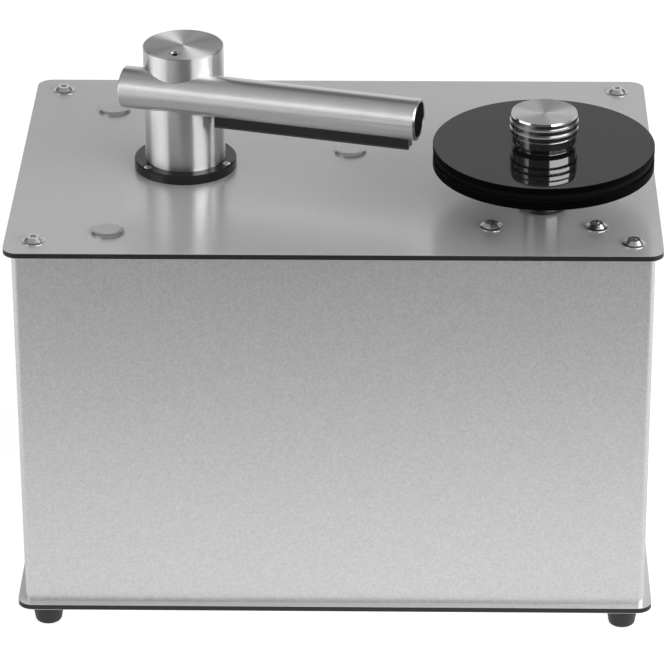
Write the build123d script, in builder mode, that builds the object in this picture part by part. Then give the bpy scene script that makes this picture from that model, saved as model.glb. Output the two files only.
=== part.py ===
"""Record cleaning machine: a flat metal case with a clamped turntable and a suction arm.

Millimetres, +Z up. The origin is the middle of the footprint on the surface the feet stand on;
+X is the right of the machine and -Y is its front.
"""
from build123d import *
import os
from math import acos, cos, pi, radians, sin, tan

os.makedirs("parts", exist_ok=True)

# ---------------------------------------------------------------- driving dimensions
# case
plate_width = 335.0
plate_depth = 225.0
plate_thickness = 3.0
plate_corner_radius = 8.0
plate_overhang = 4.2
case_height = 202.4
case_wall = 3.0
corner_inset = 15.0            # corner screw from both plate edges

# feet
foot_height = 14.0
foot_top_radius = 8.8
foot_bottom_radius = 6.8
foot_edge_radius = 1.8
foot_collar = 2.0              # straight band under the bottom plate
foot_recess_depth = 8.0

# fits
running_clearance = 0.05       # radial, a shaft that turns or slides in its hole
fixed_clearance = 0.05         # radial, a piece that stays put in its hole
screw_clearance = 0.3          # radial, a screw in a plain hole
thread_clearance = 0.05        # radial, a screw in its threaded hole
face_gap = 0.1                 # between faces that turn against each other

# button screws of the deck (M5) and the smaller screws (M4, M3)
m5_radius = 2.5
m5_head_radius = 5.9
m5_head_height = 2.6
m5_flange_height = 0.7
m5_socket = 3.0
m4_radius = 2.0
m4_head_radius = 3.4
m4_head_height = 2.4
m4_socket = 2.5
m3_radius = 1.5
m3_head_radius = 2.7
m3_head_height = 1.7
m3_socket = 2.0
small_flange_height = 0.5
corner_screw_grip = 12.0       # thread inside the corner post
foot_screw_grip = 10.0
motor_screw_grip = 5.0
panel_screw_length = 8.0
blind_end = 0.5                # screw end short of the bottom of its hole

# turntable, heights above the deck
spindle_right_inset = 60.0     # spindle from the right edge of the deck
spindle_front_inset = 61.5     # and from its front edge
disc_radius = 57.0
platter_bottom = 23.0
platter_thickness = 5.0
seal_thickness = 3.4
seal_recess = 1.0
seal_width = 12.0
clamp_thickness = 3.6
disc_edge = 0.3
hub_radius = 10.0
hub_flange_radius = 20.0
hub_flange_thickness = 3.0
hub_screw_circle = 15.0
hub_screw_cover = 1.0          # metal left above the hub screws
spindle_radius = 5.0
stud_radius = 3.5              # fits the centre hole of a record
stud_height = 14.0             # threaded end above the clamp disc
stud_edge = 1.0
bush_flange_radius = 12.7
bush_flange_thickness = 1.6
bush_radius = 8.0
bush_depth = 6.0               # below the deck plate

# knob, heights above the clamp disc
knob_height = 17.5
knob_foot_radius = 15.4
knob_foot_height = 2.6
knob_band_radius = 16.8
knob_ring_radius = 17.6
knob_groove_radius = 16.3
knob_dish_depth = 0.8
knob_bore_end = 15.5
knob_groove = 0.8
knob_ease = 0.5
knob_rim = 1.0

# drive under the deck
drive_pitch = 53.7             # square of four deck screws round the spindle
drive_spacer_length = 20.0
drive_spacer_radius = 5.0
bracket_thickness = 4.0
bracket_margin = 9.0           # bracket edge beyond its outer screws
bracket_motor_margin = 2.0     # and behind the motor
gear_module = 0.8
gear_teeth = 60
pinion_teeth = 12
pressure_angle = 20.0
tooth_backlash = 0.2
tooth_addendum = 0.85          # of the module, both wheels stubbed
gear_width = 6.0
gear_height = 3.6              # gear above the bracket
gear_boss_radius = 8.5
gear_boss_height = 4.0
bearing_radius = 8.0
bearing_flange_radius = 10.5
bearing_flange_thickness = 1.5
journal_radius = 4.0
motor_radius = 18.0
motor_length = 62.0
motor_edge = 1.0
motor_boss_radius = 6.0
motor_shaft_radius = 2.5
motor_shaft_depth = 12.0
motor_screw_circle = 14.0

# suction arm, heights above the deck
pivot_left_inset = 87.5        # post from the left edge of the deck
pivot_y = -1.5
arm_angle = -15.4
post_radius = 21.1
post_top = 68.4
post_edge = 0.5
post_bore_radius = 10.0
post_collar_radius = 22.9
post_collar_thickness = 3.0
tube_radius = 11.0
tube_wall = 1.75
tube_height = 47.0
tube_offset = 13.4             # tube axis in front of the post's axis
tube_disc_gap = 5.2            # tube's far end short of the clamp's discs
tube_tail = 28.5
tube_edge = 0.7
plug_length = 6.0
plug_recess = 0.4
nozzle_width = 7.5
nozzle_gap = 1.0               # between the post and the nozzle
nozzle_end_margin = 4.7        # nozzle short of the tube's far end
nozzle_depth = 4.1             # nozzle below the tube
slot_width = 2.0
slot_margin = 5.0
velvet_thickness = 0.9
velvet_width = 2.3
set_screw_radius = 3.0
set_screw_sink = 0.4
set_screw_socket = 3.0
set_screw_socket_depth = 3.0
flange_radius = 27.0
flange_thickness = 5.0
flange_edge = 0.6
flange_screw_circle = 23.9
flange_screw_angle = -22.5
flange_screw_sink = 0.2

# sleeve that guides the arm post under the deck
sleeve_radius = 27.0
sleeve_rim_radius = 29.0
sleeve_rim_thickness = 7.0
sleeve_screw_depth = 7.0
sleeve_guide_length = 12.0
sleeve_chamber_radius = 23.4
sleeve_floor = 3.0
sleeve_outlet_radius = 15.0
sleeve_outlet_wall = 2.0
sleeve_outlet_reach = 2.0      # below the tank lid
seal_section = 2.0
seal_rise = 1.6                # seal above the guide's lower end
washer_thickness = 2.5
washer_bore = 16.0
spring_length = 16.0           # as fitted under the washer
spring_radius = 19.0
spring_wire = 1.0
spring_turns = 3.5

# waste tank
tank_left_gap = 11.3           # between the tank and the case's inner faces
tank_front_gap = 26.3
tank_rear_gap = 30.3
tank_fan_gap = 31.0            # and between the tank and the fan housing
tank_height = 133.0
tank_wall = 2.5
tank_corner_radius = 14.0
tank_lid_rim = 3.0
tank_lid_thickness = 6.0
tank_gasket_thickness = 1.5
tank_ear_radius = 10.0
tank_bolt_radius = 3.0
tank_bolt_head_radius = 8.6
tank_bolt_head_height = 1.7
tank_bolt_edge = 0.9
tank_bolt_crown = 0.2
front_bolt_insets = (52.2, 26.0)     # tank bolts from the deck's left and front edges
rear_bolt_insets = (45.0, 43.0)      # and from its left and rear edges
right_bolt_inset = 2.0               # tank bolt inside the tank's right face
right_bolt_hose_gap = 22.0           # and in front of the hose's level run
tank_spacer_radius = 6.5

# drain through the left wall
drain_y = -20.0
drain_rise = 14.5              # above the tank floor
drain_tube_radius = 9.0
drain_bore_radius = 6.5
drain_flange_radius = 13.0
drain_flange_thickness = 1.2
drain_head_radius = 11.0
drain_head_thickness = 2.8
drain_stem_length = 13.0
drain_slot_width = 2.0
drain_slot_depth = 1.2
drain_edge_radius = 0.8

# suction hose and its two ports
hose_bore_radius = 11.0
hose_wall = 2.5
hose_bend_radius = 30.0
hose_drop = 24.0               # centre of the level run below the deck plate
hose_port_inset = 29.0         # tank's port from the tank's right face
port_wall = 2.0
port_height = 7.0

# vacuum motor and fan
fan_right_gap = 10.3           # between the fan housing and the case's inner faces
fan_rear_gap = 12.3
vacuum_pad_height = 4.0
vacuum_pad_radius = 40.0
vacuum_pad_bore = 28.0
vacuum_can_radius = 36.0
vacuum_can_height = 57.0
fan_radius = 55.0
fan_height = 40.0
fan_wall = 2.0
fan_gap = 4.0
fan_blades = 8
fan_blade_height = 14.0
fan_blade_thickness = 2.0
fan_plate_thickness = 2.0
fan_hub_radius = 12.0
fan_plate_rise = 10.0
fan_blade_root = 3.0           # blade end inside the hub
fan_outlet_width = 34.0
fan_outlet_height = 18.0
rotor_radius = 4.0
rotor_depth = 18.0

# rocker switches in the right wall
switch_height = 148.0          # above the bottom plate
switch_points_y = [-38.0, -12.0]
bezel_width = 15.0
bezel_height = 21.5
bezel_thickness = 1.6
switch_body_width = 13.0
switch_body_height = 19.5
switch_depth = 17.0
rocker_width = 10.6
rocker_radius = 8.6
rocker_side_gap = 0.2
rocker_end_gap = 0.35
rocker_pivot_depth = 1.8       # pivot behind the wall's outer face
rocker_crest = 3.9
rocker_valley = 2.4
rocker_root = 2.5
rocker_tilt = 10.0
rocker_pin_radius = 1.2
rocker_pin_reach = 0.8

# mains inlet and vents in the rear panel
inlet_right_inset = 72.5       # inlet from the right edge of the deck
inlet_height = 150.0           # above the bottom plate
inlet_flange_width = 50.0
inlet_flange_height = 23.0
inlet_flange_thickness = 2.0
inlet_body_width = 27.5
inlet_body_height = 19.5
inlet_depth = 19.0
inlet_cavity_width = 24.4
inlet_cavity_height = 16.4
inlet_cavity_depth = 15.0
inlet_corner = 4.0
blade_width = 2.0
blade_height = 4.0
blade_length = 12.0
blade_pitch = 14.0
blade_offset = 2.0
vent_slots = 9
vent_pitch = 8.0
vent_length = 60.0
vent_width = 3.0
vent_height = 72.0             # middle of the vents above the bottom plate
panel_screw_rise = 24.0        # rear panel screws from its top and bottom edges

# supply board on the bottom plate
board_right_gap = 24.3         # between the board and the case's inner faces
board_front_gap = 15.3
board_width = 96.0
board_depth = 56.0
board_thickness = 1.6
board_standoff = 8.0
board_standoff_radius = 3.5
board_hole_inset = 6.0
transformer_width = 42.0
transformer_depth = 36.0
transformer_height = 32.0
capacitor_radius = 8.0
capacitor_height = 26.0

# ---------------------------------------------------------------- derived levels and places
bottom_z = foot_height
floor_z = bottom_z + plate_thickness           # top of the bottom plate
roof_z = floor_z + case_height                 # underside of the deck plate
deck_z = roof_z + plate_thickness              # top of the deck plate

case_width = plate_width - 2 * plate_overhang
case_depth = plate_depth - 2 * plate_overhang
case_left_x = -case_width / 2
case_right_x = case_width / 2
case_rear_y = case_depth / 2
inner_left_x = case_left_x + case_wall
inner_right_x = case_right_x - case_wall
inner_front_y = case_wall - case_rear_y
inner_rear_y = case_rear_y - case_wall
corner_x = plate_width / 2 - corner_inset
corner_y = plate_depth / 2 - corner_inset
corner_names = {"front_left": (-1, -1), "front_right": (1, -1), "rear_left": (-1, 1), "rear_right": (1, 1)}
corner_points = [(sx * corner_x, sy * corner_y) for sx, sy in corner_names.values()]
corner_post_size = 2 * (corner_inset - plate_overhang - case_wall)

spindle_x = plate_width / 2 - spindle_right_inset
spindle_y = spindle_front_inset - plate_depth / 2
pivot_x = pivot_left_inset - plate_width / 2
spindle_point = (spindle_x, spindle_y)
pivot_point = (pivot_x, pivot_y)
platter_z = deck_z + platter_bottom
seal_z = platter_z + platter_thickness
clamp_z = seal_z + seal_thickness
knob_z = clamp_z + clamp_thickness
hub_bottom_z = deck_z + bush_flange_thickness + face_gap

bracket_top_z = roof_z - drive_spacer_length
bracket_bottom_z = bracket_top_z - bracket_thickness
gear_z = bracket_top_z + gear_height
gear_pitch_radius = gear_module * gear_teeth / 2
pinion_pitch_radius = gear_module * pinion_teeth / 2
motor_point = (spindle_x, spindle_y + gear_pitch_radius + pinion_pitch_radius)
drive_points = [(spindle_x + sx * drive_pitch / 2, spindle_y + sy * drive_pitch / 2)
                for sx, sy in corner_names.values()]

guide_bottom_z = roof_z - sleeve_guide_length
collar_top_z = guide_bottom_z - face_gap
post_bottom_z = collar_top_z - post_collar_thickness
washer_top_z = post_bottom_z - face_gap
washer_bottom_z = washer_top_z - washer_thickness
sleeve_floor_z = washer_bottom_z - spring_length
post_top_z = deck_z + post_top
tube_z = deck_z + tube_height
arm_along = Vector(cos(radians(arm_angle)), sin(radians(arm_angle)), 0)
arm_across = Vector(-sin(radians(arm_angle)), cos(radians(arm_angle)), 0)
arm_origin = Vector(pivot_x, pivot_y, 0) - arm_across * tube_offset
tube_reach = (Vector(spindle_x, spindle_y, 0) - arm_origin).dot(arm_along) - disc_radius - tube_disc_gap
tube_start = Plane(origin=arm_origin + Vector(0, 0, tube_z) - arm_along * tube_tail,
                   x_dir=arm_across, z_dir=arm_along)
nozzle_top_z = tube_z - tube_radius
nozzle_bottom_z = nozzle_top_z - nozzle_depth
nozzle_start = post_radius + nozzle_gap
nozzle_end = tube_reach - nozzle_end_margin
flange_screw_points = [(pivot_x + flange_screw_circle * cos(radians(flange_screw_angle + turn)),
                        pivot_y + flange_screw_circle * sin(radians(flange_screw_angle + turn)))
                       for turn in (0, 120, 240)]

vacuum_x = inner_right_x - fan_right_gap - fan_radius
hose_y = inner_rear_y - fan_rear_gap - fan_radius
vacuum_point = (vacuum_x, hose_y)

tank_left_x = inner_left_x + tank_left_gap
tank_right_x = inner_right_x - fan_right_gap - 2 * fan_radius - tank_fan_gap
tank_front_y = inner_front_y + tank_front_gap
tank_rear_y = inner_rear_y - tank_rear_gap
tank_width = tank_right_x - tank_left_x
tank_depth = tank_rear_y - tank_front_y
tank_point = ((tank_left_x + tank_right_x) / 2, (tank_front_y + tank_rear_y) / 2)
tank_bolt_points = [(front_bolt_insets[0] - plate_width / 2, front_bolt_insets[1] - plate_depth / 2),
                    (rear_bolt_insets[0] - plate_width / 2, plate_depth / 2 - rear_bolt_insets[1]),
                    (tank_right_x - right_bolt_inset, hose_y - right_bolt_hose_gap)]
tank_top_z = floor_z + tank_height
lid_z = tank_top_z + tank_gasket_thickness
lid_top_z = lid_z + tank_lid_thickness
drain_z = floor_z + tank_wall + drain_rise

can_z = floor_z + vacuum_pad_height
fan_z = can_z + vacuum_can_height
fan_top_z = fan_z + fan_height
hose_level_z = roof_z - hose_drop
rotor_plate_z = fan_z + fan_wall + fan_plate_rise

switch_z = floor_z + switch_height
rocker_x = case_right_x - rocker_pivot_depth
inlet_x = plate_width / 2 - inlet_right_inset
inlet_z = floor_z + inlet_height
vent_z = floor_z + vent_height
vent_x = vacuum_x
panel_screw_points = [(sx * corner_x, z) for sx in (-1, 1)
                      for z in (floor_z + panel_screw_rise, roof_z - panel_screw_rise)]


def save(builder, label):
    """Label a finished piece and write it to its own file."""
    builder.part.label = label
    export_step(builder.part, f"parts/{label}.step")


def turned(points, origin=(0, 0, 0)):
    """A body of revolution about the vertical through origin, from (radius, height) corners."""
    with BuildPart() as body:
        with BuildSketch(Plane(origin=origin, x_dir=(1, 0, 0), z_dir=(0, -1, 0))):
            with BuildLine():
                Polyline(*points, close=True)
            make_face()
        revolve(axis=Axis(origin, (0, 0, 1)))
    return body.part


def button_screw(shank_radius, length, head_radius, head_height, flange_height, socket):
    """A domed screw with a hexagon socket, its head standing on z = 0."""
    with BuildPart() as screw:
        with BuildSketch(Plane.XZ):
            with BuildLine():
                rim = (head_radius, flange_height * 0.6)
                shoulder = (head_radius * 0.82, flange_height)
                crown = (socket * 1.1, head_height)
                Polyline((0, head_height), (0, -length), (shank_radius, -length), (shank_radius, 0),
                         (head_radius, 0), rim, shoulder)
                ThreePointArc(shoulder, (head_radius * 0.64, head_height * 0.78), crown)
                Line(crown, (0, head_height))
            make_face()
        revolve(axis=Axis.Z)
        with BuildSketch(Plane.XY.offset(head_height)):
            RegularPolygon(socket / 2, 6, major_radius=False)
        extrude(amount=-head_height * 0.6, mode=Mode.SUBTRACT)
    return screw.part


def place(piece, points, z):
    """Copies of one turned piece standing at the given points and height."""
    with BuildPart() as group:
        with Locations(*[(x, y, z) for x, y in points]):
            add(piece)
    return group


def gear_outline(teeth, first_tooth):
    """Corners of an involute gear, one tooth centred on the angle first_tooth (degrees)."""
    pitch_radius = gear_module * teeth / 2
    base_radius = pitch_radius * cos(radians(pressure_angle))
    root_radius = pitch_radius - 1.25 * gear_module
    tip_radius = pitch_radius + tooth_addendum * gear_module
    start_radius = max(base_radius, root_radius)
    pressure = radians(pressure_angle)
    half_tooth = pi / (2 * teeth) - tooth_backlash / (2 * pitch_radius) + tan(pressure) - pressure
    flank = []
    if root_radius < base_radius:
        flank.append((root_radius, half_tooth))
    steps = 5
    for step in range(steps + 1):
        radius = start_radius + (tip_radius - start_radius) * step / steps
        roll = acos(min(1.0, base_radius / radius))
        flank.append((radius, half_tooth - tan(roll) + roll))
    corners = []
    for tooth in range(teeth):
        middle = radians(first_tooth) + 2 * pi * tooth / teeth
        corners += [(r * cos(middle - a), r * sin(middle - a)) for r, a in flank]
        corners += [(r * cos(middle + a), r * sin(middle + a)) for r, a in reversed(flank)]
    return corners


# ---------------------------------------------------------------- case
with BuildPart() as top_plate:
    with BuildSketch(Plane.XY.offset(roof_z)):
        RectangleRounded(plate_width, plate_depth, plate_corner_radius)
        with Locations(*corner_points, *drive_points):
            Circle(m5_radius + screw_clearance, mode=Mode.SUBTRACT)
        with Locations(*tank_bolt_points):
            Circle(tank_bolt_radius + screw_clearance, mode=Mode.SUBTRACT)
        with Locations(*flange_screw_points):
            Circle(m3_radius + screw_clearance, mode=Mode.SUBTRACT)
        with Locations(pivot_point):
            Circle(post_radius + screw_clearance, mode=Mode.SUBTRACT)
        with Locations(spindle_point):
            Circle(bush_radius + fixed_clearance, mode=Mode.SUBTRACT)
    extrude(amount=plate_thickness)
save(top_plate, "top_plate")

with BuildPart() as bottom_plate:
    with BuildSketch(Plane.XY.offset(bottom_z)):
        RectangleRounded(plate_width, plate_depth, plate_corner_radius)
        with Locations(*corner_points):
            Circle(m4_radius + screw_clearance, mode=Mode.SUBTRACT)
    extrude(amount=plate_thickness)
save(bottom_plate, "bottom_plate")

# front and both sides, folded from one sheet and open at the back
with BuildPart() as body_shell:
    with BuildSketch(Plane.XY.offset(floor_z)):
        Rectangle(case_width, case_depth)
    extrude(amount=case_height)
    front_folds = body_shell.edges().filter_by(Axis.Z).group_by(Axis.Y)[0]
    fillet(front_folds, radius=case_wall)
    with BuildSketch(Plane.XY.offset(floor_z)):
        with Locations((0, case_wall / 2)):
            Rectangle(case_width - 2 * case_wall, case_depth - case_wall)
    extrude(amount=case_height, mode=Mode.SUBTRACT)
    with BuildSketch(Plane.YZ.offset(case_right_x)):
        with Locations(*[(y, switch_z) for y in switch_points_y]):
            Rectangle(switch_body_width + 2 * fixed_clearance, switch_body_height + 2 * fixed_clearance)
    extrude(amount=-case_wall, mode=Mode.SUBTRACT)
    with BuildSketch(Plane.YZ.offset(case_left_x)):
        with Locations((drain_y, drain_z)):
            Circle(drain_tube_radius + screw_clearance)
    extrude(amount=case_wall, mode=Mode.SUBTRACT)
save(body_shell, "body_shell")

with BuildPart() as rear_panel:
    with BuildSketch(Plane.XZ.offset(-case_rear_y)):
        with Locations((0, floor_z + case_height / 2)):
            Rectangle(case_width - 2 * case_wall, case_height)
        with Locations((inlet_x, inlet_z)):
            Rectangle(inlet_body_width + 2 * fixed_clearance, inlet_body_height + 2 * fixed_clearance,
                      mode=Mode.SUBTRACT)
        with Locations((vent_x, vent_z)):
            with GridLocations(0, vent_pitch, 1, vent_slots):
                SlotOverall(vent_length, vent_width, mode=Mode.SUBTRACT)
        with Locations(*panel_screw_points):
            Circle(m3_radius + screw_clearance, mode=Mode.SUBTRACT)
    extrude(amount=case_wall)
save(rear_panel, "rear_panel")

panel_screw = button_screw(m3_radius, panel_screw_length, m3_head_radius, m3_head_height,
                           small_flange_height, m3_socket)
with BuildPart() as panel_screws:
    for x, z in panel_screw_points:
        with Locations(Plane(origin=(x, case_rear_y, z), x_dir=(1, 0, 0), z_dir=(0, 1, 0))):
            add(panel_screw)
save(panel_screws, "panel_screws")

with BuildPart() as corner_posts:
    with BuildSketch(Plane.XY.offset(floor_z)):
        with Locations(*corner_points):
            Rectangle(corner_post_size, corner_post_size)
            Circle(m4_radius + thread_clearance, mode=Mode.SUBTRACT)
    extrude(amount=case_height)
    with BuildSketch(Plane.XY.offset(roof_z)):
        with Locations(*corner_points):
            Circle(m5_radius + thread_clearance)
    extrude(amount=-case_height / 2, mode=Mode.SUBTRACT)
    with BuildSketch(Plane.XZ.offset(-corner_y - corner_post_size / 2)):
        with Locations(*panel_screw_points):
            Circle(m3_radius + thread_clearance)
    extrude(amount=panel_screw_length - case_wall + face_gap, mode=Mode.SUBTRACT)
save(corner_posts, "corner_posts")

for name, (sx, sy) in corner_names.items():
    with BuildPart() as foot:
        add(turned([(0, 0), (foot_bottom_radius, 0), (foot_top_radius, foot_height - foot_collar),
                    (foot_top_radius, foot_height), (0, foot_height)],
                   origin=(sx * corner_x, sy * corner_y, 0)))
        fillet(foot.edges().sort_by(Axis.Z)[0], radius=foot_edge_radius)
        with Locations((sx * corner_x, sy * corner_y, 0)):
            CounterBoreHole(m4_radius + screw_clearance, m4_head_radius + screw_clearance,
                            foot_recess_depth, depth=foot_height)
    save(foot, f"foot_{name}")

corner_screw = button_screw(m5_radius, plate_thickness + corner_screw_grip, m5_head_radius, m5_head_height,
                            m5_flange_height, m5_socket)
corner_screws = place(corner_screw, corner_points, deck_z)
save(corner_screws, "corner_screws")

foot_screw_length = foot_height - foot_recess_depth + plate_thickness + foot_screw_grip
foot_screw = button_screw(m4_radius, foot_screw_length, m4_head_radius, m4_head_height,
                          small_flange_height, m4_socket)
with BuildPart() as foot_screws:
    for x, y in corner_points:
        with Locations(Plane(origin=(x, y, foot_recess_depth), x_dir=(1, 0, 0), z_dir=(0, 0, -1))):
            add(foot_screw)
save(foot_screws, "foot_screws")

# ---------------------------------------------------------------- turntable drive
bracket_width = drive_pitch + 2 * bracket_margin
bracket_front_y = spindle_y - drive_pitch / 2 - bracket_margin
bracket_rear_y = motor_point[1] + motor_radius + bracket_motor_margin
motor_screw_points = [(motor_point[0] + sx * motor_screw_circle, motor_point[1]) for sx in (-1, 1)]

with BuildPart() as drive_bracket:
    with BuildSketch(Plane.XY.offset(bracket_bottom_z)):
        with Locations((spindle_x, (bracket_front_y + bracket_rear_y) / 2)):
            RectangleRounded(bracket_width, bracket_rear_y - bracket_front_y, bracket_margin / 2)
        with Locations(*drive_points):
            Circle(m5_radius + thread_clearance, mode=Mode.SUBTRACT)
        with Locations(spindle_point):
            Circle(bearing_radius + fixed_clearance, mode=Mode.SUBTRACT)
        with Locations(motor_point):
            Circle(motor_boss_radius + fixed_clearance, mode=Mode.SUBTRACT)
        with Locations(*motor_screw_points):
            Circle(m3_radius + screw_clearance, mode=Mode.SUBTRACT)
    extrude(amount=bracket_thickness)
save(drive_bracket, "drive_bracket")

with BuildPart() as drive_spacers:
    with BuildSketch(Plane.XY.offset(bracket_top_z)):
        with Locations(*drive_points):
            Circle(drive_spacer_radius)
            Circle(m5_radius + screw_clearance, mode=Mode.SUBTRACT)
    extrude(amount=drive_spacer_length)
save(drive_spacers, "drive_spacers")

drive_screw_length = plate_thickness + drive_spacer_length + bracket_thickness
drive_screw = button_screw(m5_radius, drive_screw_length, m5_head_radius, m5_head_height,
                           m5_flange_height, m5_socket)
drive_screws = place(drive_screw, drive_points, deck_z)
save(drive_screws, "drive_screws")

with BuildPart() as spindle_bush:
    add(turned([(spindle_radius + running_clearance, roof_z - bush_depth), (bush_radius, roof_z - bush_depth),
                (bush_radius, deck_z), (bush_flange_radius, deck_z),
                (bush_flange_radius - disc_edge, deck_z + bush_flange_thickness),
                (spindle_radius + running_clearance, deck_z + bush_flange_thickness)],
               origin=(spindle_x, spindle_y, 0)))
save(spindle_bush, "spindle_bush")

with BuildPart() as spindle_bearing:
    bearing_top_z = bracket_top_z + bearing_flange_thickness
    add(turned([(journal_radius + running_clearance, bracket_bottom_z), (bearing_radius, bracket_bottom_z),
                (bearing_radius, bracket_top_z), (bearing_flange_radius, bracket_top_z),
                (bearing_flange_radius, bearing_top_z),
                (journal_radius + running_clearance, bearing_top_z)],
               origin=(spindle_x, spindle_y, 0)))
save(spindle_bearing, "spindle_bearing")

with BuildPart() as spindle:
    shoulder_z = bracket_top_z + bearing_flange_thickness + face_gap
    stud_top_z = knob_z + stud_height
    add(turned([(0, bracket_bottom_z), (journal_radius, bracket_bottom_z), (journal_radius, shoulder_z),
                (spindle_radius, shoulder_z), (spindle_radius, platter_z), (stud_radius, platter_z),
                (stud_radius, stud_top_z - stud_edge), (stud_radius - stud_edge, stud_top_z), (0, stud_top_z)],
               origin=(spindle_x, spindle_y, 0)))
save(spindle, "spindle")

with BuildPart() as drive_gear:
    with BuildSketch(Plane.XY.offset(gear_z)):
        with Locations(spindle_point):
            with BuildLine():
                Polyline(*[(spindle_x + x, spindle_y + y) for x, y in
                           gear_outline(gear_teeth, 90 + 180 / gear_teeth)], close=True)
        make_face()
    extrude(amount=gear_width)
    with BuildSketch(Plane.XY.offset(gear_z + gear_width)):
        with Locations(spindle_point):
            Circle(gear_boss_radius)
    extrude(amount=gear_boss_height)
    with Locations((spindle_x, spindle_y, gear_z)):
        Cylinder(spindle_radius + fixed_clearance, 3 * (gear_width + gear_boss_height), mode=Mode.SUBTRACT)
save(drive_gear, "drive_gear")

with BuildPart() as drive_pinion:
    with BuildSketch(Plane.XY.offset(gear_z - face_gap)):
        with BuildLine():
            Polyline(*[(motor_point[0] + x, motor_point[1] + y) for x, y in
                       gear_outline(pinion_teeth, -90)], close=True)
        make_face()
    extrude(amount=gear_width + 2 * face_gap)
    with BuildSketch(Plane.XY.offset(bracket_bottom_z - motor_shaft_depth)):
        with Locations(motor_point):
            Circle(motor_shaft_radius)
    extrude(amount=gear_z - bracket_bottom_z + motor_shaft_depth)
save(drive_pinion, "drive_pinion")

with BuildPart() as drive_motor:
    bore_radius = motor_shaft_radius + running_clearance
    bore_end_z = bracket_bottom_z - motor_shaft_depth - face_gap
    can_bottom_z = bracket_bottom_z - motor_length
    add(turned([(0, can_bottom_z), (motor_radius - motor_edge, can_bottom_z),
                (motor_radius, can_bottom_z + motor_edge),
                (motor_radius, bracket_bottom_z), (motor_boss_radius, bracket_bottom_z),
                (motor_boss_radius, bracket_top_z), (bore_radius, bracket_top_z), (bore_radius, bore_end_z),
                (0, bore_end_z)], origin=(*motor_point, 0)))
    with BuildSketch(Plane.XY.offset(bracket_bottom_z)):
        with Locations(*motor_screw_points):
            Circle(m3_radius + thread_clearance)
    extrude(amount=-motor_screw_grip - blind_end, mode=Mode.SUBTRACT)
save(drive_motor, "drive_motor")

motor_screw = button_screw(m3_radius, bracket_thickness + motor_screw_grip, m3_head_radius, m3_head_height,
                           small_flange_height, m3_socket)
motor_screws = place(motor_screw, motor_screw_points, bracket_top_z)
save(motor_screws, "motor_screws")

# ---------------------------------------------------------------- turntable
with BuildPart() as platter_hub:
    hub_flange_z = platter_z - hub_flange_thickness
    add(turned([(spindle_radius + fixed_clearance, hub_bottom_z), (hub_radius - disc_edge, hub_bottom_z),
                (hub_radius, hub_bottom_z + disc_edge), (hub_radius, hub_flange_z),
                (hub_flange_radius, hub_flange_z), (hub_flange_radius, platter_z),
                (spindle_radius + fixed_clearance, platter_z)], origin=(spindle_x, spindle_y, 0)))
    with Locations((spindle_x, spindle_y, hub_flange_z)):
        with PolarLocations(hub_screw_circle, 3):
            Hole(m3_radius + screw_clearance, 3 * hub_flange_thickness)
save(platter_hub, "platter_hub")


def disc(bottom_z, thickness, bore_radius, screw_holes=False):
    """A clamp disc with eased edges round the spindle."""
    with BuildPart() as plate:
        add(turned([(bore_radius, bottom_z), (disc_radius - disc_edge, bottom_z),
                    (disc_radius, bottom_z + disc_edge), (disc_radius, bottom_z + thickness - disc_edge),
                    (disc_radius - disc_edge, bottom_z + thickness), (bore_radius, bottom_z + thickness)],
                   origin=(spindle_x, spindle_y, 0)))
        if screw_holes:
            with BuildSketch(Plane.XY.offset(bottom_z)):
                with Locations(spindle_point):
                    with PolarLocations(hub_screw_circle, 3):
                        Circle(m3_radius + thread_clearance)
            extrude(amount=thickness - hub_screw_cover, mode=Mode.SUBTRACT)
    return plate


platter_disc = disc(platter_z, platter_thickness, stud_radius + fixed_clearance, screw_holes=True)
save(platter_disc, "platter_disc")

hub_screw_length = hub_flange_thickness + platter_thickness - hub_screw_cover - blind_end
hub_screw = button_screw(m3_radius, hub_screw_length, m3_head_radius, m3_head_height,
                         small_flange_height, m3_socket)
with BuildPart() as hub_screws:
    with Locations(Plane(origin=(spindle_x, spindle_y, hub_flange_z), x_dir=(1, 0, 0), z_dir=(0, 0, -1))):
        with PolarLocations(hub_screw_circle, 3):
            add(hub_screw)
save(hub_screws, "hub_screws")

with BuildPart() as clamp_seal:
    seal_bore_radius = disc_radius - seal_width
    add(turned([(seal_bore_radius, seal_z), (disc_radius - seal_recess, seal_z),
                (disc_radius - disc_edge, clamp_z), (seal_bore_radius, clamp_z)],
               origin=(spindle_x, spindle_y, 0)))
save(clamp_seal, "clamp_seal")

clamp_disc = disc(clamp_z, clamp_thickness, stud_radius + running_clearance)
save(clamp_disc, "clamp_disc")

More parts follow.
